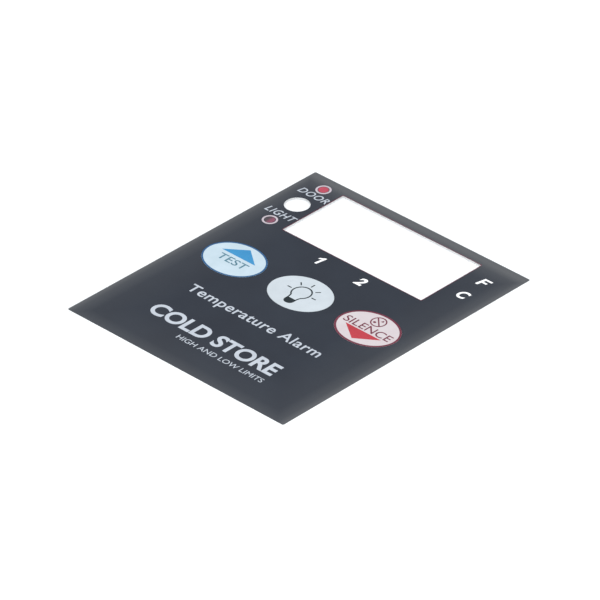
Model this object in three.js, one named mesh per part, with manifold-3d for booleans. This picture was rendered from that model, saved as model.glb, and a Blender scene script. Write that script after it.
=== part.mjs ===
// Membrane keypad panel of a cold-room temperature and door alarm.
//
// The panel is a stack of die-cut films: a printed overlay in front, three snap-dome key
// switches in the middle and a self-adhesive back. Every film is a flat solid of its own.
//
// Millimetres, +Z up. The origin is the centre of the rear adhesive face. +X runs along a
// line of text, +Y points to the panel's top edge and +Z points out of the printed face.

import * as THREE from 'three';
import { mergeVertices } from 'three/addons/utils/BufferGeometryUtils.js';
import Module from 'manifold-3d';

const wasm = await Module();
wasm.setup();

// ---------------------------------------------------------------- driving dimensions

const panel = { width: 108, height: 130, cornerRadius: 0.6 };

// Thickness of each layer, from the back of the panel to the front.
const thickness = {
  rearAdhesive: 0.05,
  circuitFilm: 0.1,
  silverInk: 0.02,
  domeSpacer: 0.25,
  keySpacer: 0.14,
  overlayAdhesive: 0.05,
  overlayFilm: 0.125,
};

// Windows of the overlay. The films behind it are cut back a little further.
const displayWindow = { x: -0.25, y: 43.75, width: 69.5, height: 32.5, cornerRadius: 0.3 };
const indicatorColumnX = -43.1;
const roundWindow = { x: indicatorColumnX, y: 43.7, diameter: 10 };
const ledWindows = [
  { name: 'door_led_window', x: indicatorColumnX, y: 57.9 },
  { name: 'light_led_window', x: indicatorColumnX, y: 29.1 },
];
const ledWindowDiameter = 4;
const cutBack = 0.4;

// Slots behind the four clear characters, which are lit from behind.
const legendSlot = { width: 6.4, height: 6.8, cornerRadius: 0.5 };
const legendCentres = [
  { x: -10.65, y: 21.5 },
  { x: 10.25, y: 21.5 },
  { x: 43.2, y: 51.85 },
  { x: 43.2, y: 40.6 },
];

// One row of three oval keys.
const keyRow = { centreX: -0.1, pitch: 33.45, y: 0.5 };
const keyOval = { width: 27, height: 21.5 };
const keyGap = 0.08;
const keyRoom = 0.5;

// Snap dome and the actuator disc between it and the key face.
const dome = {
  diameter: 8.4, height: 0.22, wall: 0.05, footWidth: 0.4, profileSteps: 5, turnSteps: 32,
};
const domeLeg = { scallopRadius: 3.2, scallopDistance: 6.3, count: 4 };
const domePocketDiameter = 9.2;
const ventChannelWidth = 1.2;
const actuatorDiameter = 5;
const actuatorClearance = 0.01;

// Printed silver circuit: a round contact in a C-shaped one under every dome.
const centreContactDiameter = 3;
const outerContact = { innerDiameter: 6.2, outerDiameter: 8.8, gapAngle: Math.PI / 4 };
const traceWidth = 0.8;
const commonBus = { y: 13.5, x: 49, returnY: -49 };
const signalRowY = -44;

// Pads on the back of the circuit film, where the flat tail is bonded on.
const tailPad = { width: 1.5, length: 4, y: -57, pitch: 2.54 };
const tailSlot = { x: 0, y: -57, width: 14, height: 8, cornerRadius: 1 };
const via = { diameter: 0.7, holeDiameter: 0.9, y: -56 };

// Largest distance between a curve and the straight steps that stand for it.
const chordError = 0.03;

// ---------------------------------------------------------------- levels

const level = { back: 0 };
level.circuitFilm = level.back + thickness.rearAdhesive;
level.silverInk = level.circuitFilm + thickness.circuitFilm;
level.domeSpacer = level.silverInk + thickness.silverInk;
level.keySpacer = level.domeSpacer + thickness.domeSpacer;
level.overlayAdhesive = level.keySpacer + thickness.keySpacer;
level.overlayFilm = level.overlayAdhesive + thickness.overlayAdhesive;
level.front = level.overlayFilm + thickness.overlayFilm;

const keyNames = ['test', 'light', 'silence'];
const keys = keyNames.map((name, index) => ({
  name,
  x: keyRow.centreX + (index - 1) * keyRow.pitch,
  y: keyRow.y,
}));
const padNames = [...keyNames, 'common'];
const padX = (name) => (padNames.indexOf(name) - (padNames.length - 1) / 2) * tailPad.pitch;

// ---------------------------------------------------------------- materials

const finish = (color, roughness, metalness = 0) =>
  new THREE.MeshStandardMaterial({ color, roughness, metalness });

const materials = {
  blackFilm: finish(0x3f464e, 0.55),
  clearFilm: finish(0xf4f6f7, 0.1),
  redWindow: finish(0xc55f75, 0.3),
  whiteKey: finish(0xdae7ed, 0.5),
  blueKey: finish(0xd1e2ea, 0.5),
  pinkKey: finish(0xe5d3d5, 0.5),
  adhesive: finish(0xe4e2d8, 0.7),
  polyester: finish(0xe9ecec, 0.4),
  silverInk: finish(0xb9bab8, 0.45, 0.6),
  steel: finish(0xc4c6c8, 0.25, 1),
  actuator: finish(0xd8dad8, 0.6),
};

// ---------------------------------------------------------------- outlines

// Points along part of an ellipse, closer together in angle where it is larger.
function arcPoints({ x, y }, radiusX, radiusY, start, end) {
  const largestStep = 2 * Math.acos(1 - chordError / Math.max(radiusX, radiusY));
  const steps = Math.ceil(Math.abs(end - start) / largestStep);
  return Array.from({ length: steps + 1 }, (_, step) => {
    const angle = start + (end - start) * step / steps;
    return new THREE.Vector2(x + radiusX * Math.cos(angle), y + radiusY * Math.sin(angle));
  });
}

function roundedRectangle({ x = 0, y = 0, width, height, cornerRadius: r }, growth = 0) {
  const reachX = width / 2 + growth - r;
  const reachY = height / 2 + growth - r;
  const quarter = Math.PI / 2;
  const corners = [[1, -1], [1, 1], [-1, 1], [-1, -1]];
  return new THREE.Shape(corners.flatMap(([signX, signY], index) => {
    const start = (index - 1) * quarter;
    const centre = { x: x + signX * reachX, y: y + signY * reachY };
    return arcPoints(centre, r, r, start, start + quarter);
  }));
}

function oval(centre, width, height) {
  return new THREE.Shape(arcPoints(centre, width / 2, height / 2, 0, 2 * Math.PI).slice(1));
}

const circle = (centre, diameter) => oval(centre, diameter, diameter);

// A C-shaped ring whose gap faces the panel's bottom edge.
function openRing(centre, { innerDiameter, outerDiameter, gapAngle }) {
  const start = -Math.PI / 2 + gapAngle / 2;
  const end = start + 2 * Math.PI - gapAngle;
  return new THREE.Shape([
    ...arcPoints(centre, outerDiameter / 2, outerDiameter / 2, start, end),
    ...arcPoints(centre, innerDiameter / 2, innerDiameter / 2, end, start),
  ]);
}

// A straight bar with square ends that reach half its width past both points.
function bar(from, to, width) {
  const low = { x: Math.min(from.x, to.x), y: Math.min(from.y, to.y) };
  const high = { x: Math.max(from.x, to.x), y: Math.max(from.y, to.y) };
  return new THREE.Shape([
    new THREE.Vector2(low.x - width / 2, low.y - width / 2),
    new THREE.Vector2(high.x + width / 2, low.y - width / 2),
    new THREE.Vector2(high.x + width / 2, high.y + width / 2),
    new THREE.Vector2(low.x - width / 2, high.y + width / 2),
  ]);
}

// ---------------------------------------------------------------- solids

function prism(shape, bottom, top, holes = []) {
  const outline = shape.clone();
  outline.holes = holes;
  const geometry = new THREE.ExtrudeGeometry(outline, {
    depth: top - bottom,
    bevelEnabled: false,
  });
  return geometry.translate(0, 0, bottom);
}

function toSolid(geometry) {
  const bare = geometry.clone();
  bare.deleteAttribute('normal');
  bare.deleteAttribute('uv');
  const merged = mergeVertices(bare, 1e-4);
  return new wasm.Manifold(new wasm.Mesh({
    numProp: 3,
    vertProperties: new Float32Array(merged.attributes.position.array),
    triVerts: new Uint32Array(merged.index.array),
  }));
}

function toGeometry(solid) {
  const mesh = solid.getMesh();
  const geometry = new THREE.BufferGeometry();
  geometry.setAttribute('position', new THREE.BufferAttribute(mesh.vertProperties, 3));
  geometry.setIndex(new THREE.BufferAttribute(mesh.triVerts, 1));
  geometry.computeVertexNormals();
  return geometry;
}

const join = (geometries) => toGeometry(
  geometries.map(toSolid).reduce((whole, piece) => whole.add(piece)),
);

const cut = (geometry, tools) => toGeometry(
  tools.map(toSolid).reduce((whole, tool) => whole.subtract(tool), toSolid(geometry)),
);

// A cutting tool that runs past both faces of the dome spacer.
const throughSpacer = (shape) => prism(
  shape, level.domeSpacer - thickness.domeSpacer, level.keySpacer + thickness.domeSpacer,
);

const assembly = new THREE.Group();
assembly.name = 'membrane_keypad_panel';

function addPart(name, geometry, material) {
  const mesh = new THREE.Mesh(geometry, material);
  mesh.name = name;
  assembly.add(mesh);
}

// ---------------------------------------------------------------- full-size films

const panelOutline = roundedRectangle(panel);

// Openings of the films behind the overlay, so that light and sight lines pass.
const sightOpenings = () => [
  roundedRectangle(displayWindow, cutBack),
  circle(roundWindow, roundWindow.diameter + 2 * cutBack),
  ...ledWindows.map((window) => circle(window, ledWindowDiameter + 2 * cutBack)),
  ...legendCentres.map((centre) => roundedRectangle({ ...centre, ...legendSlot })),
];

const keyOpenings = (growth) => keys.map(
  (key) => oval(key, keyOval.width + 2 * growth, keyOval.height + 2 * growth),
);

function addFilms() {
  addPart(
    'rear_adhesive',
    prism(panelOutline, level.back, level.circuitFilm,
      [...sightOpenings(), roundedRectangle(tailSlot)]),
    materials.adhesive,
  );
  const viaHoles = padNames.map((name) => circle({ x: padX(name), y: via.y }, via.holeDiameter));
  addPart(
    'circuit_film',
    prism(panelOutline, level.circuitFilm, level.silverInk, [...sightOpenings(), ...viaHoles]),
    materials.polyester,
  );
  addPart('dome_spacer', domeSpacer(), materials.polyester);
  addPart(
    'key_spacer',
    prism(panelOutline, level.keySpacer, level.overlayAdhesive,
      [...sightOpenings(), ...keyOpenings(keyRoom)]),
    materials.polyester,
  );
  addPart(
    'overlay_adhesive',
    prism(panelOutline, level.overlayAdhesive, level.overlayFilm,
      [...sightOpenings(), ...keyOpenings(keyRoom)]),
    materials.adhesive,
  );
  const windows = [
    roundedRectangle(displayWindow),
    circle(roundWindow, roundWindow.diameter),
    ...ledWindows.map((window) => circle(window, ledWindowDiameter)),
  ];
  addPart(
    'overlay_film',
    prism(panelOutline, level.overlayFilm, level.front, [...windows, ...keyOpenings(0)]),
    materials.blackFilm,
  );
}

// A round pocket for each dome, with a channel between them that lets the air move.
function domeSpacer() {
  const sheet = prism(panelOutline, level.domeSpacer, level.keySpacer, sightOpenings());
  const pockets = keys.map((key) => throughSpacer(circle(key, domePocketDiameter)));
  const channel = throughSpacer(bar(keys[0], keys[keys.length - 1], ventChannelWidth));
  return cut(sheet, [...pockets, channel]);
}

// ---------------------------------------------------------------- window panes

function addWindows() {
  addPart(
    'display_window',
    prism(roundedRectangle(displayWindow), level.overlayFilm, level.front),
    materials.clearFilm,
  );
  addPart(
    'round_window',
    prism(circle(roundWindow, roundWindow.diameter), level.overlayFilm, level.front),
    materials.clearFilm,
  );
  for (const window of ledWindows) {
    const pane = prism(circle(window, ledWindowDiameter), level.overlayFilm, level.front);
    addPart(window.name, pane, materials.redWindow);
  }
}

// ---------------------------------------------------------------- keys and domes

function addKeys() {
  const faceMaterial = {
    test: materials.blueKey,
    light: materials.whiteKey,
    silence: materials.pinkKey,
  };
  for (const key of keys) {
    const width = keyOval.width - 2 * keyGap;
    const height = keyOval.height - 2 * keyGap;
    const face = prism(oval(key, width, height), level.overlayFilm, level.front);
    addPart(`${key.name}_key_face`, face, faceMaterial[key.name]);

    const actuatorBottom = level.domeSpacer + dome.height + actuatorClearance;
    const actuator = prism(circle(key, actuatorDiameter), actuatorBottom, level.overlayFilm);
    addPart(`${key.name}_actuator`, actuator, materials.actuator);

    addPart(`${key.name}_dome`, snapDome(key), materials.steel);
  }
}

// A thin shallow shell with scallops between its four legs, standing on the outer contact.
function snapDome({ x, y }) {
  const radius = dome.diameter / 2;
  const rise = (r) => dome.height * (1 - (r / radius) ** 2);
  const steps = Array.from(
    { length: dome.profileSteps + 1 }, (_, step) => radius * step / dome.profileSteps,
  );
  const outside = steps.map((r) => new THREE.Vector2(r, rise(r)));
  const inside = steps
    .filter((r) => rise(r) > dome.wall)
    .map((r) => new THREE.Vector2(r, rise(r) - dome.wall));
  const heel = new THREE.Vector2(radius - dome.footWidth, 0);
  const profile = [...inside, heel, ...outside.reverse()];
  const shell = new THREE.LatheGeometry(profile, dome.turnSteps);
  shell.rotateX(Math.PI / 2);
  shell.translate(x, y, level.domeSpacer);

  const scallops = [];
  for (let leg = 0; leg < domeLeg.count; leg += 1) {
    const angle = leg * 2 * Math.PI / domeLeg.count;
    const centre = {
      x: x + domeLeg.scallopDistance * Math.cos(angle),
      y: y + domeLeg.scallopDistance * Math.sin(angle),
    };
    scallops.push(throughSpacer(circle(centre, 2 * domeLeg.scallopRadius)));
  }
  return cut(shell, scallops);
}

// ---------------------------------------------------------------- printed circuit

const inkPrism = (shape) => prism(shape, level.silverInk, level.domeSpacer);

function trace(points) {
  return points.slice(1).map((point, index) => inkPrism(bar(points[index], point, traceWidth)));
}

function addCircuit() {
  for (const key of keys) {
    const x = padX(key.name);
    const route = trace([
      key,
      { x: key.x, y: signalRowY },
      { x, y: signalRowY },
      { x, y: tailPad.y },
    ]);
    const contact = inkPrism(circle(key, centreContactDiameter));
    addPart(`${key.name}_trace`, join([contact, ...route]), materials.silverInk);
  }

  const commonX = padX('common');
  const bus = trace([
    { x: keys[0].x, y: commonBus.y },
    { x: commonBus.x, y: commonBus.y },
    { x: commonBus.x, y: commonBus.returnY },
    { x: commonX, y: commonBus.returnY },
    { x: commonX, y: tailPad.y },
  ]);
  const ringTop = (outerContact.innerDiameter + outerContact.outerDiameter) / 4;
  for (const key of keys) {
    bus.push(inkPrism(openRing(key, outerContact)));
    bus.push(...trace([{ x: key.x, y: key.y + ringTop }, { x: key.x, y: commonBus.y }]));
  }
  addPart('common_trace', join(bus), materials.silverInk);

  // A tail pad on the back of the circuit film, with a filled hole up to its trace.
  const padBack = level.circuitFilm - thickness.silverInk;
  const barReach = (tailPad.length - tailPad.width) / 2;
  for (const name of padNames) {
    const x = padX(name);
    const outline = bar(
      { x, y: tailPad.y - barReach }, { x, y: tailPad.y + barReach }, tailPad.width,
    );
    const face = prism(outline, padBack, level.circuitFilm);
    const post = prism(circle({ x, y: via.y }, via.diameter), padBack, level.silverInk);
    addPart(`${name}_tail_pad`, join([face, post]), materials.silverInk);
  }
}

addFilms();
addWindows();
addKeys();
addCircuit();

export default assembly;
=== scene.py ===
import math
import bmesh
import bpy
from mathutils import Matrix, Vector


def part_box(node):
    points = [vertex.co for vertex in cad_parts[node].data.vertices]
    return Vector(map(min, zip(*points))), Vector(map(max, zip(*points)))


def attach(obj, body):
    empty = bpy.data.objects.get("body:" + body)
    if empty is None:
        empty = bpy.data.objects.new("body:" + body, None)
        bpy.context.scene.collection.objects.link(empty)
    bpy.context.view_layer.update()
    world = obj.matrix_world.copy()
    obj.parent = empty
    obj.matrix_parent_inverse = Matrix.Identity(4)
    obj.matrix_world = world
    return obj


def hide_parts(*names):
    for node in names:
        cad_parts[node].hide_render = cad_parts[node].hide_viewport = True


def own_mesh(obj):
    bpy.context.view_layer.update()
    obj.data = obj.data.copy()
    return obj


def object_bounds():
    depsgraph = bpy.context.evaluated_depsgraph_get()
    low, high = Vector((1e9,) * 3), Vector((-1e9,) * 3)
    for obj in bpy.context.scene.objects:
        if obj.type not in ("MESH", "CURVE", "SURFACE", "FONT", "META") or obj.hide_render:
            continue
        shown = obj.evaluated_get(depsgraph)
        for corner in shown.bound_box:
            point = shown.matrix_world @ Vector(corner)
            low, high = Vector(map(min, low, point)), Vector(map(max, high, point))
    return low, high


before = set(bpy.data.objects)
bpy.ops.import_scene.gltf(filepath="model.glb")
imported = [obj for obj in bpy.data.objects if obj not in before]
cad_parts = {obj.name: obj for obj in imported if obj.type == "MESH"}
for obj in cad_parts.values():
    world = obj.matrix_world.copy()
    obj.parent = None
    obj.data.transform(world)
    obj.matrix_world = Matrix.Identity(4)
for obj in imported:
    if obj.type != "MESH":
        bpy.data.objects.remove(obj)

cadLow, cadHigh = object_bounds()
toMetres = 0.001                   # shapes are drawn in millimetres and brought to metres at the end
faceZ = cadHigh.z / toMetres       # the printed face
print("frame loaded:", len(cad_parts), "nodes")


# Place and size of a CAD node, in millimetres.
def nodeCentre(node):
    low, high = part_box(node)
    return (low + high) / (2 * toMetres)


def nodeSize(node):
    low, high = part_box(node)
    return (high - low) / toMetres


# A long lens from far away, so that parallel edges stay nearly parallel. Angles are in degrees,
# lengths in millimetres, and the clip distances in metres.
cameraSettings = {
    "azimuth": 43.7,
    "elevation": 33.0,
    "distance": 2174.9,
    "aim": (1.89, -1.86, 0.0),
    "lens": 360.0,
    "sensor": 36.0,
    "clip": (0.05, 20.0),
}


def makeCamera(settings):
    data = bpy.data.cameras.new("camera")
    data.lens = settings["lens"]
    data.sensor_width = settings["sensor"]
    data.clip_start, data.clip_end = settings["clip"]
    camera = bpy.data.objects.new("camera", data)
    bpy.context.scene.collection.objects.link(camera)
    azimuth = math.radians(settings["azimuth"])
    elevation = math.radians(settings["elevation"])
    back = Vector((
        math.sin(azimuth) * math.cos(elevation),
        -math.cos(azimuth) * math.cos(elevation),
        math.sin(elevation),
    ))
    aim = Vector(settings["aim"]) * toMetres
    camera.location = aim + back * settings["distance"] * toMetres
    camera.rotation_mode = "QUATERNION"
    camera.rotation_quaternion = (-back).to_track_quat("-Z", "Y")
    bpy.context.scene.camera = camera


makeCamera(cameraSettings)


# Materials: sRGB hex colours are turned to linear here, and one function adds every node.
def linear(hexColour):
    channels = [int(hexColour[start:start + 2], 16) / 255 for start in (1, 3, 5)]
    return tuple(
        c / 12.92 if c <= 0.04045 else ((c + 0.055) / 1.055) ** 2.4 for c in channels
    ) + (1.0,)


def addNode(tree, kind, settings=None, values=None, links=None):
    node = tree.nodes.new(kind)
    for name, value in (settings or {}).items():
        setattr(node, name, value)
    for socket, value in (values or {}).items():
        node.inputs[socket].default_value = value
    for socket, source in (links or {}).items():
        tree.links.new(source, node.inputs[socket])
    return node


def perMetre(sizeInMm):
    return 1.0 / (sizeInMm * toMetres)    # the noise scale for a feature of that size


def marginSheenMask(tree, place, look):
    # How near a place is to the margins, where the painted sheen goes: 0 in the middle of the sheet
    # and 1 at its edges.
    reachX, reachY = look["reach"]
    scaled = addNode(
        tree, "ShaderNodeVectorMath", {"operation": "MULTIPLY_ADD"},
        values={1: (perMetre(reachX), perMetre(reachY), 0.0), 2: (0.0, look["lift"], 0.0)},
        links={0: place},
    )
    folded = addNode(
        tree, "ShaderNodeVectorMath", {"operation": "ABSOLUTE"}, links={0: scaled.outputs[0]},
    )
    parts = addNode(tree, "ShaderNodeSeparateXYZ", links={"Vector": folded.outputs[0]})
    farthest = addNode(
        tree, "ShaderNodeMath", {"operation": "MAXIMUM"},
        links={0: parts.outputs["X"], 1: parts.outputs["Y"]},
    )
    return farthest.outputs[0]


def shadowToLitAcross(tree, place, look):
    # Rises from 0 to 1 from left to right across a window: from the painted shadow to the lit ink.
    parts = addNode(tree, "ShaderNodeSeparateXYZ", links={"Vector": place})
    across = addNode(
        tree, "ShaderNodeMapRange",
        values={
            "From Min": look["from"] * toMetres,
            "From Max": look["to"] * toMetres,
        },
        links={"Value": parts.outputs["X"]},
    )
    return across.outputs["Result"]


def addPaintedLight(tree, place, colour, look):
    # Brings in a second colour by place, as painted light or shade; the stops say how much of it at
    # each distance.
    distance = look["kind"](tree, place, look)
    amount = addNode(tree, "ShaderNodeValToRGB", links={"Fac": distance})
    stops = amount.color_ramp.elements
    for position, _ in look["stops"][len(stops):]:
        stops.new(position)
    for stop, (position, share) in zip(stops, look["stops"]):
        stop.position = position
        stop.color = (share, share, share, 1.0)
    mixed = addNode(
        tree, "ShaderNodeMixRGB",
        values={"Color2": linear(look["colour"])},
        links={"Fac": amount.outputs["Color"], "Color1": colour},
    )
    return mixed.outputs["Color"]


# The slow drift between two shades, and the grain, as every material draws them.
driftNoise = {"Detail": 3.0, "Roughness": 0.55}
driftStops = (0.3, 0.7)
grainNoise = {"Detail": 2.0, "Roughness": 0.6}


def makeMaterial(name, look):
    # A base colour that drifts between two shades, painted light or shade laid over it where the
    # look asks, a grain that also roughens, and a fine bump.
    material = bpy.data.materials.new(name)
    material.use_nodes = True
    tree = material.node_tree
    tree.nodes.clear()
    place = addNode(tree, "ShaderNodeTexCoord")
    drift = addNode(
        tree, "ShaderNodeTexNoise",
        values={"Scale": perMetre(look["driftMm"]), **driftNoise},
        links={"Vector": place.outputs["Object"]},
    )
    shades = addNode(tree, "ShaderNodeValToRGB", links={"Fac": drift.outputs["Fac"]})
    for stop, position, shade in zip(shades.color_ramp.elements, driftStops, look["colours"]):
        stop.position = position
        stop.color = linear(shade)
    colour = shades.outputs["Color"]
    if "paintedLight" in look:
        colour = addPaintedLight(tree, place.outputs["Object"], colour, look["paintedLight"])
    grain = addNode(
        tree, "ShaderNodeTexNoise",
        values={"Scale": perMetre(look["grainMm"]), **grainNoise},
        links={"Vector": place.outputs["Object"]},
    )
    roughness = addNode(
        tree, "ShaderNodeMapRange",
        values={"To Min": look["roughness"][0], "To Max": look["roughness"][1]},
        links={"Value": grain.outputs["Fac"]},
    )
    bump = addNode(
        tree, "ShaderNodeBump",
        values={"Strength": look["bump"], "Distance": look["bumpMm"] * toMetres},
        links={"Height": grain.outputs["Fac"]},
    )
    shader = addNode(
        tree, "ShaderNodeBsdfPrincipled",
        values={
            "Metallic": look.get("metallic", 0.0),
            "IOR": look.get("ior", 1.5),
            "Specular IOR Level": look.get("specular", 0.5),
            "Alpha": look.get("alpha", 1.0),
        },
        links={
            "Base Color": colour,
            "Roughness": roughness.outputs["Result"],
            "Normal": bump.outputs["Normal"],
        },
    )
    addNode(tree, "ShaderNodeOutputMaterial", links={"Surface": shader.outputs["BSDF"]})
    return material


# What the screen inks share: on a key face, in lettering and pictures, and on a window.
keyFaceInk = {
    "driftMm": 7, "grainMm": 0.5, "roughness": (0.42, 0.55), "bump": 0.2, "bumpMm": 0.015,
}
satinInk = {
    "driftMm": 6, "grainMm": 0.35, "roughness": (0.42, 0.55), "bump": 0.15, "bumpMm": 0.01,
}
mattInk = {
    "driftMm": 4, "grainMm": 0.35, "roughness": (0.45, 0.6), "bump": 0.15, "bumpMm": 0.01,
}
windowInk = {
    "driftMm": 3, "grainMm": 0.4, "roughness": (0.25, 0.4), "bump": 0.1, "bumpMm": 0.01,
}

# Index of refraction: polyester film 1.64, screen ink about 1.5, acrylic adhesive 1.47.
# The real grain of film, inks, silver and steel is about 0.05 mm, too fine to show, so every
# grain is drawn coarser than it is.
materialLooks = {
    # velvet-textured polyester, printed black on its back: soft and slightly blue, with a painted
    # sheen that makes it paler towards its margins, a little more at the top
    "velvetBlackFilm": {
        "colours": ("#19202c", "#1f2733"), "driftMm": 26, "grainMm": 0.4,
        "roughness": (0.48, 0.62), "bump": 0.3, "bumpMm": 0.02, "ior": 1.5, "specular": 0.2,
        # painted sheen: a pale grey laid over the film near its edges
        "paintedLight": {
            "kind": marginSheenMask, "colour": "#535558", "reach": (54, 65.5), "lift": 0.045,
            "stops": ((0.55, 0.0), (0.86, 0.14), (0.95, 0.45), (1.0, 1.0)),
        },
    },
    # the same film left unprinted and polished: clear, with a faint gloss
    "clearFilm": {
        "colours": ("#f3f7fa", "#ffffff"), "driftMm": 30, "grainMm": 2.0,
        "roughness": (0.06, 0.12), "bump": 0.05, "bumpMm": 0.01, "ior": 1.64, "alpha": 0.06,
    },
    # translucent red ink: the light ground shows through it a little
    "redWindowInk": {**windowInk, "colours": ("#a8233f", "#b42f4a"), "alpha": 0.95},
    # a darker red ink with a painted shadow: almost black on its left side and maroon on its right
    "maroonInkWithPaintedShadow": {
        **windowInk, "colours": ("#2b1c26", "#36232e"), "alpha": 0.96,
        "paintedLight": {
            "kind": shadowToLitAcross, "colour": "#7e3350", "from": -45.1, "to": -41.1,
            "stops": ((0.3, 0.0), (0.6, 0.85), (1.0, 1.0)),
        },
    },
    # white diffusing ink behind the lit characters
    "diffuserInk": {
        "colours": ("#f6f7f8", "#ffffff"), "driftMm": 4, "grainMm": 0.4,
        "roughness": (0.35, 0.5), "bump": 0.1, "bumpMm": 0.01,
    },
    # opaque white inks of the key faces: even, with a slight mottle
    "coolWhiteInk": {**keyFaceInk, "colours": ("#b8c1c7", "#c0c9cf")},
    "blueWhiteInk": {**keyFaceInk, "colours": ("#b0c4ce", "#bbcdd8")},
    "pinkWhiteInk": {**keyFaceInk, "colours": ("#c4b8bb", "#c8c1c3")},
    # opaque inks of the lettering, lines and pictures: the greys matt, the blues and reds satin
    "greyInk": {**mattInk, "colours": ("#adb4be", "#bac1ca"), "driftMm": 5},
    "rosyGreyInk": {**mattInk, "colours": ("#b0a5ad", "#bdb1b9"), "driftMm": 3},
    "slateInk": {**mattInk, "colours": ("#131f24", "#1a272c"), "specular": 0.14},
    "tealGreyInk": {**mattInk, "colours": ("#456f80", "#507b8c"), "specular": 0.2},
    "skyBlueInk": {**satinInk, "colours": ("#207eb2", "#2c88bb"), "specular": 0.3},
    "deepBlueInk": {**satinInk, "colours": ("#1c4f7c", "#245a88"), "specular": 0.2},
    "signalRedInk": {**satinInk, "colours": ("#a82331", "#b42c39"), "specular": 0.3},
    "darkRedInk": {**satinInk, "colours": ("#631f33", "#6f283c"), "specular": 0.2},
    # transfer adhesive: milky and tacky, with small ripples
    "transferAdhesive": {
        "colours": ("#e2e1da", "#edece6"), "driftMm": 12, "grainMm": 0.8,
        "roughness": (0.3, 0.5), "bump": 0.3, "bumpMm": 0.03, "ior": 1.47,
    },
    # heat-stabilised polyester: milky and smooth
    "milkyPolyester": {
        "colours": ("#e6e9ea", "#f1f3f3"), "driftMm": 15, "grainMm": 1.0,
        "roughness": (0.25, 0.4), "bump": 0.15, "bumpMm": 0.01, "ior": 1.64,
    },
    # screen-printed silver: dull, grainy from its flakes
    "silverInk": {
        "colours": ("#a9aaa8", "#c3c4c1"), "driftMm": 2, "grainMm": 0.25,
        "roughness": (0.4, 0.6), "bump": 0.4, "bumpMm": 0.01, "metallic": 0.7,
    },
    # rolled stainless spring steel: bright
    "springSteel": {
        "colours": ("#c4c6c8", "#d6d8d9"), "driftMm": 2, "grainMm": 0.2,
        "roughness": (0.18, 0.3), "bump": 0.1, "bumpMm": 0.01, "metallic": 1.0,
    },
}
materials = {name: makeMaterial(name, look) for name, look in materialLooks.items()}

# CAD nodes that keep their shape and get a material.
nodeMaterials = {
    "display_window": "clearFilm",
    "round_window": "clearFilm",
    "door_led_window": "redWindowInk",
    "light_led_window": "maroonInkWithPaintedShadow",
    "overlay_adhesive": "transferAdhesive",
    "rear_adhesive": "transferAdhesive",
    "key_spacer": "milkyPolyester",
    "dome_spacer": "milkyPolyester",
    "circuit_film": "milkyPolyester",
    "test_actuator": "milkyPolyester",
    "light_actuator": "milkyPolyester",
    "silence_actuator": "milkyPolyester",
}
for node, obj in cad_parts.items():
    if node.endswith("_trace") or node.endswith("_tail_pad"):
        nodeMaterials[node] = "silverInk"
    if node in nodeMaterials:
        obj.data.materials.clear()
        obj.data.materials.append(materials[nodeMaterials[node]])
print("materials made:", len(materials))


# Every mesh below is drawn in millimetres, in the panel's own frame.
def evaluatedMesh(source):
    bpy.context.view_layer.update()
    depsgraph = bpy.context.evaluated_depsgraph_get()
    return bpy.data.meshes.new_from_object(source.evaluated_get(depsgraph))


def plainMesh(name, data):
    # Turns a curve or a text into an ordinary mesh.
    source = bpy.data.objects.new(name, data)
    bpy.context.scene.collection.objects.link(source)
    mesh = evaluatedMesh(source)
    bpy.data.objects.remove(source)
    return mesh


def weld(mesh, distance=0.0005):
    # Merges doubled points, drops the slivers that leaves, and turns all faces outwards.
    shape = bmesh.new()
    shape.from_mesh(mesh)
    bmesh.ops.remove_doubles(shape, verts=shape.verts, dist=distance)
    bmesh.ops.dissolve_degenerate(shape, edges=shape.edges, dist=distance / 10)
    bmesh.ops.recalc_face_normals(shape, faces=shape.faces)
    shape.to_mesh(mesh)
    shape.free()
    return mesh


def addPiece(name, mesh, material, body):
    mesh.transform(Matrix.Scale(toMetres, 4))
    mesh.name = name
    mesh.materials.clear()
    mesh.materials.append(materials[material])
    for face in mesh.polygons:
        face.use_smooth = False
    piece = bpy.data.objects.new(name, mesh)
    bpy.context.scene.collection.objects.link(piece)
    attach(piece, body)
    return piece


def joinMeshes(meshes):
    whole = bmesh.new()
    for mesh in meshes:
        whole.from_mesh(mesh)
    mesh = bpy.data.meshes.new("joined")
    whole.to_mesh(mesh)
    whole.free()
    return mesh


# Outlines are lists of (x, y).
def ovalOutline(centre, width, height, steps=160):
    return [
        (
            centre[0] + width / 2 * math.cos(2 * math.pi * step / steps),
            centre[1] + height / 2 * math.sin(2 * math.pi * step / steps),
        )
        for step in range(steps)
    ]


def roundedOutline(centre, width, height, radius, cornerSteps=6):
    points = []
    for corner, (signX, signY) in enumerate(((1, -1), (1, 1), (-1, 1), (-1, -1))):
        middleX = centre[0] + signX * (width / 2 - radius)
        middleY = centre[1] + signY * (height / 2 - radius)
        for step in range(cornerSteps + 1):
            angle = (corner - 1 + step / cornerSteps) * math.pi / 2
            points.append((
                middleX + radius * math.cos(angle), middleY + radius * math.sin(angle),
            ))
    return points


def arcOutline(centre, radius, start, end, steps=24):
    return [
        (
            centre[0] + radius * math.cos(math.radians(start + (end - start) * step / steps)),
            centre[1] + radius * math.sin(math.radians(start + (end - start) * step / steps)),
        )
        for step in range(steps + 1)
    ]


def plate(outlines, bottom, top):
    # A flat sheet with straight walls: the first outline is its edge and the rest are holes.
    curve = bpy.data.curves.new("plate", "CURVE")
    curve.dimensions = "2D"
    curve.fill_mode = "BOTH"
    curve.extrude = (top - bottom) / 2
    for outline in outlines:
        spline = curve.splines.new("POLY")
        spline.points.add(len(outline) - 1)
        for point, (x, y) in zip(spline.points, outline):
            point.co = (x, y, 0, 1)
        spline.use_cyclic_u = True
    mesh = plainMesh("plate", curve)
    mesh.transform(Matrix.Translation((0, 0, (bottom + top) / 2)))
    return weld(mesh)


inkThickness = 0.012    # printing stands this far out of the film


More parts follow.
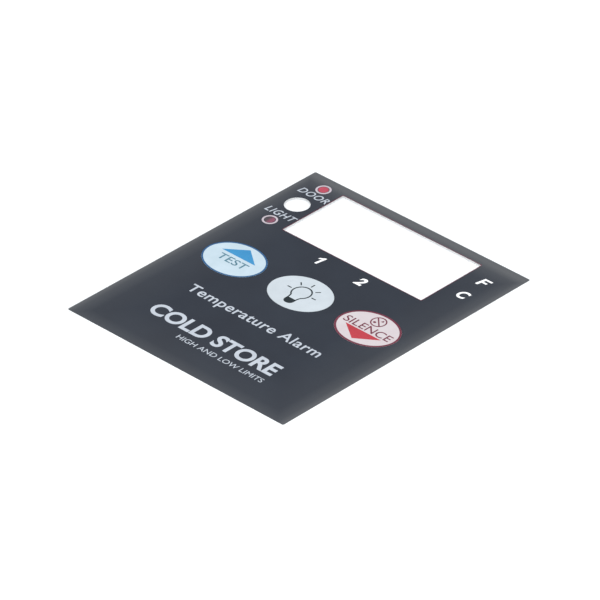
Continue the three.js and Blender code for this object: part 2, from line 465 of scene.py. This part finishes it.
# Lettering is slanted, stretched to its width and height, and placed by its middle.
def letterMesh(words, look, thick=0.0):
    font = bpy.data.curves.new("lettering", "FONT")
    font.body = words
    font.size = look["height"]
    font.shear = look.get("slant", 0.0)
    font.offset = look.get("weight", 0.0) * look["height"]
    font.space_character = look.get("spacing", 1.0)
    font.fill_mode = "BOTH"
    font.extrude = thick / 2
    mesh = plainMesh("lettering", font)
    xs = [v.co.x for v in mesh.vertices]
    ys = [v.co.y for v in mesh.vertices]
    stretchX = look["width"] / (max(xs) - min(xs))
    stretchY = look["height"] / (max(ys) - min(ys))
    middle = Vector(((max(xs) + min(xs)) / 2, (max(ys) + min(ys)) / 2, 0))
    mesh.transform(Matrix.Translation(-middle))
    mesh.transform(Matrix.Diagonal((stretchX, stretchY, 1, 1)))
    mesh.transform(Matrix.Translation((*look["centre"], 0)))
    return weld(mesh)


def printedWords(name, look, body):
    mesh = letterMesh(look["words"], look, inkThickness)
    mesh.transform(Matrix.Translation((0, 0, faceZ + inkThickness / 2)))
    addPiece(name, mesh, look["ink"], body)


def boundaryLoops(mesh):
    # The outlines of a flat mesh, each as an ordered list of (x, y).
    neighbours = {}
    shape = bmesh.new()
    shape.from_mesh(mesh)
    for edge in shape.edges:
        if edge.is_boundary:
            a, b = (v.index for v in edge.verts)
            neighbours.setdefault(a, []).append(b)
            neighbours.setdefault(b, []).append(a)
    shape.free()
    loops = []
    while neighbours:
        start = next(iter(neighbours))
        loop = [start]
        while True:
            onward = [n for n in neighbours[loop[-1]] if n in neighbours and n not in loop]
            if not onward:
                break
            loop.append(onward[0])
        for index in loop:
            del neighbours[index]
        loops.append([tuple(mesh.vertices[index].co.xy) for index in loop])
    return loops


# Two node trees: a printed line of constant width along a path, and a fan of rays.
def newTree(name, sockets):
    tree = bpy.data.node_groups.new(name, "GeometryNodeTree")
    tree.interface.new_socket("Geometry", in_out="INPUT", socket_type="NodeSocketGeometry")
    for socket, kind in sockets.items():
        tree.interface.new_socket(socket, in_out="INPUT", socket_type=kind)
    tree.interface.new_socket("Geometry", in_out="OUTPUT", socket_type="NodeSocketGeometry")
    return tree, addNode(tree, "NodeGroupInput")


def closeTree(tree, given, geometry):
    real = addNode(tree, "GeometryNodeRealizeInstances", links={"Geometry": geometry})
    painted = addNode(
        tree, "GeometryNodeSetMaterial",
        links={"Geometry": real.outputs["Geometry"], "Material": given.outputs["Material"]},
    )
    addNode(tree, "NodeGroupOutput", links={"Geometry": painted.outputs["Geometry"]})
    return tree


def makeLineTree():
    tree, given = newTree("printedLine", {
        "Line Width": "NodeSocketFloat",
        "Ink Height": "NodeSocketFloat",
        "Material": "NodeSocketMaterial",
    })
    level = addNode(
        tree, "GeometryNodeSetCurveNormal", {"mode": "Z_UP"},
        links={"Curve": given.outputs["Geometry"]},
    )
    profile = addNode(
        tree, "GeometryNodeCurvePrimitiveQuadrilateral",
        links={"Width": given.outputs["Line Width"], "Height": given.outputs["Ink Height"]},
    )
    swept = addNode(
        tree, "GeometryNodeCurveToMesh",
        values={"Fill Caps": True},
        links={"Curve": level.outputs["Curve"], "Profile Curve": profile.outputs["Curve"]},
    )
    return closeTree(tree, given, swept.outputs["Mesh"])


def makeRayTree():
    tree, given = newTree("printedRays", {
        "Count": "NodeSocketInt",
        "Middle Radius": "NodeSocketFloat",
        "Ray Size": "NodeSocketVector",
        "Material": "NodeSocketMaterial",
    })
    arc = addNode(
        tree, "GeometryNodeCurveArc", {"mode": "RADIUS"},
        values={"Start Angle": 0.0, "Sweep Angle": math.pi},
        links={
            "Resolution": given.outputs["Count"],
            "Radius": given.outputs["Middle Radius"],
        },
    )
    ray = addNode(tree, "GeometryNodeMeshCube", links={"Size": given.outputs["Ray Size"]})
    outward = addNode(tree, "GeometryNodeInputPosition")
    turned = addNode(
        tree, "FunctionNodeAlignRotationToVector", {"axis": "Y"},
        links={"Vector": outward.outputs["Position"]},
    )
    rays = addNode(
        tree, "GeometryNodeInstanceOnPoints",
        links={
            "Points": arc.outputs["Curve"],
            "Instance": ray.outputs["Mesh"],
            "Rotation": turned.outputs["Rotation"],
        },
    )
    return closeTree(tree, given, rays.outputs["Instances"])


lineTree = makeLineTree()
rayTree = makeRayTree()


def runTree(tree, data, inputs):
    # The inputs are set by identifier, before the object is first evaluated.
    source = bpy.data.objects.new("source", data)
    bpy.context.scene.collection.objects.link(source)
    modifier = source.modifiers.new("nodes", "NODES")
    modifier.node_group = tree
    for item in tree.interface.items_tree:
        if item.in_out == "INPUT" and item.name in inputs:
            modifier[item.identifier] = inputs[item.name]
    mesh = evaluatedMesh(source)
    source.modifiers.remove(modifier)
    bpy.data.objects.remove(source)
    return mesh


def lineMesh(points, closed, width, ink):
    curve = bpy.data.curves.new("path", "CURVE")
    curve.dimensions = "3D"
    spline = curve.splines.new("POLY")
    spline.points.add(len(points) - 1)
    for point, (x, y) in zip(spline.points, points):
        point.co = (x, y, faceZ + inkThickness / 2, 1)
    spline.use_cyclic_u = closed
    mesh = runTree(lineTree, curve, {
        "Line Width": width, "Ink Height": inkThickness, "Material": materials[ink],
    })
    return weld(mesh)


def printedLine(name, points, closed, width, ink, body):
    addPiece(name, lineMesh(points, closed, width, ink), ink, body)


# The printed film, with openings for the windows, the keys and the lit characters.
filmSettings = {"cornerRadius": 0.6, "windowCornerRadius": 0.3, "windowSteps": 96}
keyNames = ("test", "light", "silence")
keyLooks = {
    "test": {"ink": "blueWhiteInk", "slot": "blue_white_key"},
    "light": {"ink": "coolWhiteInk", "slot": "white_key"},
    "silence": {"ink": "pinkWhiteInk", "slot": "pink_white_key"},
}
keyGap = 0.08     # the cut round a key face
litCharacters = {
    "slant": 0.2, "weight": 0.032,
    "places": {
        "1": {"centre": (-10.65, 21.5), "width": 3.2, "height": 5.0},
        "2": {"centre": (10.25, 21.5), "width": 3.9, "height": 5.0},
        "F": {"centre": (43.2, 51.85), "width": 4.7, "height": 4.8},
        "C": {"centre": (43.2, 40.6), "width": 4.5, "height": 4.9},
    },
}
# heavy characters that the built-in face draws too thin, one unit high and upright
drawnCharacters = {
    "1": [
        (0.32, 0), (0.56, 0), (0.56, 1), (0.38, 1),
        (0.2, 0.86), (0, 0.78), (0, 0.6), (0.32, 0.72),
    ],
    "F": [
        (0, 0), (0.23, 0), (0.23, 0.4), (0.66, 0.4), (0.66, 0.58),
        (0.23, 0.58), (0.23, 0.82), (0.76, 0.82), (0.76, 1), (0, 1),
    ],
}


def characterLoops(word, look):
    if word not in drawnCharacters:
        return boundaryLoops(letterMesh(word, look))
    slanted = [(x + look["slant"] * y, y) for x, y in drawnCharacters[word]]
    stretch = look["width"] / max(x for x, y in slanted)
    left = look["centre"][0] - look["width"] / 2
    bottom = look["centre"][1] - look["height"] / 2
    return [[(left + x * stretch, bottom + y * look["height"]) for x, y in slanted]]


def makeFilm():
    low, high = (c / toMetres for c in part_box("overlay_film"))
    middle = (low + high) / 2
    size = high - low
    outlines = [roundedOutline(middle, size.x, size.y, filmSettings["cornerRadius"])]
    size = nodeSize("display_window")
    outlines.append(roundedOutline(
        nodeCentre("display_window"), size.x, size.y, filmSettings["windowCornerRadius"],
    ))
    for node in ("round_window", "door_led_window", "light_led_window"):
        size = nodeSize(node)
        outlines.append(
            ovalOutline(nodeCentre(node), size.x, size.y, filmSettings["windowSteps"])
        )
    for key in keyNames:
        size = nodeSize(key + "_key_face")
        outlines.append(ovalOutline(
            nodeCentre(key + "_key_face"), size.x + 2 * keyGap, size.y + 2 * keyGap,
        ))
    characters = []
    for word, place in litCharacters["places"].items():
        characters += characterLoops(word, {**litCharacters, **place})
    film = addPiece(
        "overlayFilm", plate(outlines + characters, low.z, high.z),
        "velvetBlackFilm", "panel",
    )
    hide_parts("overlay_film")
    panes = [plate([loop], low.z, high.z) for loop in characters]
    addPiece("litCharacters", joinMeshes(panes), "diffuserInk", "panel")


def makeKeyFace(key, look):
    node = key + "_key_face"
    low, high = (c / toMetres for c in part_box(node))
    outline = ovalOutline(nodeCentre(node), high.x - low.x, high.y - low.y)
    mesh = plate([outline], low.z, high.z)
    face = addPiece(key + "KeyFace", mesh, look["ink"], key + "_key")
    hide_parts(node)


makeFilm()
for key in keyNames:
    makeKeyFace(key, keyLooks[key])
print("film and key faces made")


# Printing on the key faces, placed from the key's centre. Angles are in degrees.
ringLooks = {
    "test": {"width": 0.65, "ink": "deepBlueInk"},
    "silence": {"width": 0.8, "ink": "darkRedInk"},
}
arrowLooks = {
    "test": {"base": 2.1, "tip": 8.5, "halfWidth": 8.4, "ink": "skyBlueInk"},
    "silence": {"base": -2.4, "tip": -8.5, "halfWidth": 8.7, "ink": "signalRedInk"},
}
keyWords = {
    "test": {
        "words": "TEST", "centre": (0.4, -1.35), "width": 13.9, "height": 3.8,
        "weight": 0.006, "ink": "tealGreyInk",
    },
    "silence": {
        "words": "SILENCE", "centre": (0.0, 0.2), "width": 22.2, "height": 3.9,
        "weight": 0.004, "ink": "darkRedInk",
    },
}
bulbLook = {
    "centre": (-0.15, 0.7), "radius": 3.85, "line": 0.58, "neckHalfWidth": 1.9, "neckY": -5.05,
    "neckPull": (0.25, 0.55), "openAngle": 38, "baseHeight": 3.4, "baseRadius": 1.95,
    "arcSteps": 48, "neckSteps": 12, "cornerSteps": 8, "ink": "slateInk",
}
rayLook = {"count": 5, "inner": 5.0, "outer": 7.05, "width": 0.5, "ink": "slateInk"}
muteLook = {
    "centre": (-0.05, 5.8), "diameter": 5.8, "line": 0.52, "circleSteps": 64, "ink": "darkRedInk",
    "blob": {"centre": (-1.1, -1.0), "width": 1.3, "height": 1.15, "steps": 24},
    "horn": ((0.3, 0.6), (1.55, 0.9), (1.0, 2.0)),
}


def fromKey(key, points):
    centre = nodeCentre(key + "_key_face")
    return [(centre.x + x, centre.y + y) for x, y in points]


def inkPlate(outline):
    return plate([outline], faceZ, faceZ + inkThickness)


def printRing(key, look):
    size = nodeSize(key + "_key_face")
    path = ovalOutline(
        nodeCentre(key + "_key_face"), size.x - look["width"], size.y - look["width"],
    )
    printedLine(key + "KeyRing", path, True, look["width"], look["ink"], key + "_key")


def printArrow(key, look):
    half = look["halfWidth"]
    outline = fromKey(key, [(-half, look["base"]), (half, look["base"]), (0, look["tip"])])
    addPiece(key + "KeyArrow", inkPlate(outline), look["ink"], key + "_key")


def printKeyWords(key, look):
    centre = fromKey(key, [look["centre"]])[0]
    printedWords(key + "KeyWord", {**look, "centre": centre}, key + "_key")


def neckCurve(start, end, look):
    # Leaves the circle along its slope and turns straight down into the neck.
    middle = [b + pull * (a - b) for a, b, pull in zip(start, end, look["neckPull"])]
    points = []
    for step in range(look["neckSteps"] + 1):
        t = step / look["neckSteps"]
        points.append(tuple(
            (1 - t) ** 2 * a + 2 * t * (1 - t) * m + t ** 2 * b
            for a, m, b in zip(start, middle, end)
        ))
    return points


def printBulb(look):
    # An open circle that draws in to a neck, and a filled cap under it.
    x, y = look["centre"]
    top = y + look["neckY"]
    arc = arcOutline(
        look["centre"], look["radius"], -90 + look["openAngle"], 270 - look["openAngle"],
        look["arcSteps"],
    )
    right = neckCurve(arc[0], (x + look["neckHalfWidth"], top), look)
    left = neckCurve(arc[-1], (x - look["neckHalfWidth"], top), look)
    path = fromKey("light", right[::-1] + arc[1:-1] + left)
    printedLine("bulbOutline", path, False, look["line"], look["ink"], "light_key")
    half = look["neckHalfWidth"] + look["line"] / 2
    radius, steps = look["baseRadius"], look["cornerSteps"]
    cornerY = top - look["baseHeight"] + radius
    cap = [(x + half, top), (x - half, top)]
    cap += arcOutline((x - half + radius, cornerY), radius, 180, 270, steps)
    cap += arcOutline((x + half - radius, cornerY), radius, 270, 360, steps)
    addPiece("bulbCap", inkPlate(fromKey("light", cap)), look["ink"], "light_key")


def printRays(look):
    length = look["outer"] - look["inner"]
    empty = bpy.data.meshes.new("rays")
    mesh = runTree(rayTree, empty, {
        "Count": look["count"],
        "Middle Radius": look["inner"] + length / 2,
        "Ray Size": (look["width"], length, inkThickness),
        "Material": materials[look["ink"]],
    })
    x, y = fromKey("light", [bulbLook["centre"]])[0]
    mesh.transform(Matrix.Translation((x, y, faceZ + inkThickness / 2)))
    addPiece("bulbRays", weld(mesh), look["ink"], "light_key")


def printMute(look):
    # A crossed-out circle round a small horn.
    x, y = look["centre"]
    diameter, line, blob = look["diameter"], look["line"], look["blob"]
    reach = (diameter - line) / 2 / math.sqrt(2)
    circle = ovalOutline((x, y), diameter, diameter, look["circleSteps"])
    slash = [(x - reach, y + reach), (x + reach, y - reach)]
    blobCentre = (x + blob["centre"][0], y + blob["centre"][1])
    filled = [
        ovalOutline(blobCentre, blob["width"], blob["height"], blob["steps"]),
        [(x + hornX, y + hornY) for hornX, hornY in look["horn"]],
    ]
    meshes = [
        lineMesh(fromKey("silence", circle), True, line, look["ink"]),
        lineMesh(fromKey("silence", slash), False, line, look["ink"]),
    ]
    meshes += [inkPlate(fromKey("silence", outline)) for outline in filled]
    addPiece("muteSign", joinMeshes(meshes), look["ink"], "silence_key")


for key, look in ringLooks.items():
    printRing(key, look)
for key, look in arrowLooks.items():
    printArrow(key, look)
for key, look in keyWords.items():
    printKeyWords(key, look)
printBulb(bulbLook)
printRays(rayLook)
printMute(muteLook)
print("key printing made")


# Printing on the film, placed from the middle of the panel.
lampRingLook = {"width": 0.78, "outerDiameter": 6.1, "steps": 96, "ink": "rosyGreyInk"}
keylineLook = {"width": 0.24, "cornerRadius": 0.42, "ink": "darkRedInk"}
filmWords = {
    "doorWord": {
        "words": "DOOR", "centre": (-42.85, 52.45), "width": 14.3, "height": 3.45,
        "slant": 0.22, "weight": 0.008, "spacing": 1.12, "ink": "greyInk",
    },
    "lightWord": {
        "words": "LIGHT", "centre": (-42.85, 34.8), "width": 14.3, "height": 3.55,
        "slant": 0.22, "weight": 0.008, "spacing": 1.12, "ink": "greyInk",
    },
    "upperWords": {
        "words": "Temperature Alarm", "centre": (0.25, -24.4), "width": 65.5, "height": 6.6,
        "weight": 0.01, "spacing": 1.06, "ink": "greyInk",
    },
    "middleWords": {
        "words": "COLD STORE", "centre": (-1.75, -42.3), "width": 62.0, "height": 7.7,
        "weight": 0.03, "ink": "greyInk",
    },
    "lowerWords": {
        "words": "HIGH AND LOW LIMITS", "centre": (8.5, -50.1), "width": 42.4, "height": 2.5,
        "weight": 0.0, "ink": "greyInk",
    },
}


def printLampRing(name, node, look):
    diameter = look["outerDiameter"] - look["width"]
    path = ovalOutline(nodeCentre(node), diameter, diameter, look["steps"])
    printedLine(name, path, True, look["width"], look["ink"], "panel")


def printKeyline(look):
    # A thin line round the display window.
    size = nodeSize("display_window")
    path = roundedOutline(
        nodeCentre("display_window"), size.x + look["width"], size.y + look["width"],
        look["cornerRadius"],
    )
    printedLine("windowKeyline", path, True, look["width"], look["ink"], "panel")


printLampRing("doorLampRing", "door_led_window", lampRingLook)
printLampRing("lightLampRing", "light_led_window", lampRingLook)
printKeyline(keylineLook)
for name, look in filmWords.items():
    printedWords(name, look, "panel")
print("film printing made")


# Snap domes: thin shells on four legs, one for each key.
domeLook = {
    "diameter": 8.4, "wall": 0.05, "edgeWall": 0.02, "scallopRadius": 3.2,
    "scallopDistance": 6.3, "rings": 24, "turns": 96, "pressedShare": 0.22,
}


def domeReach(angle, look):
    # Distance from the centre to the edge: a circle with a scallop cut into each side.
    offset = (angle + math.pi / 4) % (math.pi / 2) - math.pi / 4
    across = look["scallopDistance"] * math.sin(offset)
    radius = look["diameter"] / 2
    if abs(across) >= look["scallopRadius"]:
        return radius
    along = look["scallopDistance"] * math.cos(offset)
    return min(radius, along - math.sqrt(look["scallopRadius"] ** 2 - across ** 2))


def makeDome(key, look):
    node = key + "_dome"
    low, high = (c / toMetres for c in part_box(node))
    centre = (low + high) / 2
    radius, turns = look["diameter"] / 2, look["turns"]
    shape = bmesh.new()
    layers = []
    # the outer face first, then the inner one, which comes down to the foot
    for drop, lowest in ((0.0, look["edgeWall"]), (look["wall"], 0.0)):
        rows = []
        top = shape.verts.new((centre.x, centre.y, high.z - drop))
        for ring in range(1, look["rings"] + 1):
            row = []
            for turn in range(turns):
                angle = 2 * math.pi * turn / turns
                r = domeReach(angle, look) * ring / look["rings"]
                rise = (high.z - low.z) * (1 - (r / radius) ** 2)
                z = low.z + max(rise - drop, lowest)
                row.append(shape.verts.new((
                    centre.x + r * math.cos(angle), centre.y + r * math.sin(angle), z,
                )))
            rows.append(row)
        layers.append((top, rows))
    for top, rows in layers:
        for turn in range(turns):
            onward = (turn + 1) % turns
            shape.faces.new((top, rows[0][turn], rows[0][onward]))
            for inner, outer in zip(rows, rows[1:]):
                shape.faces.new((inner[turn], outer[turn], outer[onward], inner[onward]))
    upper, lower = layers[0][1][-1], layers[1][1][-1]
    for turn in range(turns):
        onward = (turn + 1) % turns
        shape.faces.new((upper[turn], lower[turn], lower[onward], upper[onward]))
    bmesh.ops.recalc_face_normals(shape, faces=shape.faces)
    mesh = bpy.data.meshes.new(node)
    shape.to_mesh(mesh)
    shape.free()
    dome = addPiece(key + "SnapDome", mesh, "springSteel", "panel")
    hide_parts(node)
    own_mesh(dome)


for key in keyNames:
    makeDome(key, domeLook)
print("snap domes made")


# Floor and lights, in metres and watts, placed from the panel's middle.
floorSettings = {
    "size": 6.0, "below": 0.00005, "colour": "#f7f8f9", "roughness": 0.9, "specular": 0.1,
}
lightSettings = {
    "world": ("#f6f8fb", 0.95),    # colour and strength of the light from all round
    "overhead": {"size": 1.6, "place": (-0.35, 0.5, 1.5), "power": 8.0, "colour": "#ffffff"},
    # only fills the sides: it leaves no glare on the film
    "front": {
        "size": 1.2, "place": (1.0, -1.05, 0.6), "power": 16.0, "colour": "#ffffff", "glare": False,
    },
}


def makeFloor(settings):
    half = settings["size"] / 2
    mesh = bpy.data.meshes.new("floor")
    z = -settings["below"]
    corners = [(-half, -half, z), (half, -half, z), (half, half, z), (-half, half, z)]
    mesh.from_pydata(corners, [], [(0, 1, 2, 3)])
    floor = bpy.data.objects.new("floor", mesh)
    bpy.context.scene.collection.objects.link(floor)
    paper = bpy.data.materials.new("whitePaper")
    paper.use_nodes = True
    shader = paper.node_tree.nodes["Principled BSDF"]
    shader.inputs["Base Color"].default_value = linear(settings["colour"])
    shader.inputs["Roughness"].default_value = settings["roughness"]
    shader.inputs["Specular IOR Level"].default_value = settings["specular"]
    mesh.materials.append(paper)


def makeLights(settings):
    colour, strength = settings["world"]
    world = bpy.data.worlds.new("studio")
    world.use_nodes = True
    background = world.node_tree.nodes["Background"]
    background.inputs["Color"].default_value = linear(colour)
    background.inputs["Strength"].default_value = strength
    bpy.context.scene.world = world
    for name in ("overhead", "front"):
        look = settings[name]
        data = bpy.data.lights.new(name, "AREA")
        data.shape = "SQUARE"
        data.size = look["size"]
        data.energy = look["power"]
        data.color = linear(look["colour"])[:3]
        light = bpy.data.objects.new(name, data)
        bpy.context.scene.collection.objects.link(light)
        light.visible_glossy = look.get("glare", True)
        light.location = look["place"]
        light.rotation_mode = "QUATERNION"
        light.rotation_quaternion = (-light.location).to_track_quat("-Z", "Y")


makeFloor(floorSettings)
makeLights(lightSettings)
bpy.context.scene.view_settings.view_transform = "Standard"
print("floor and light made")
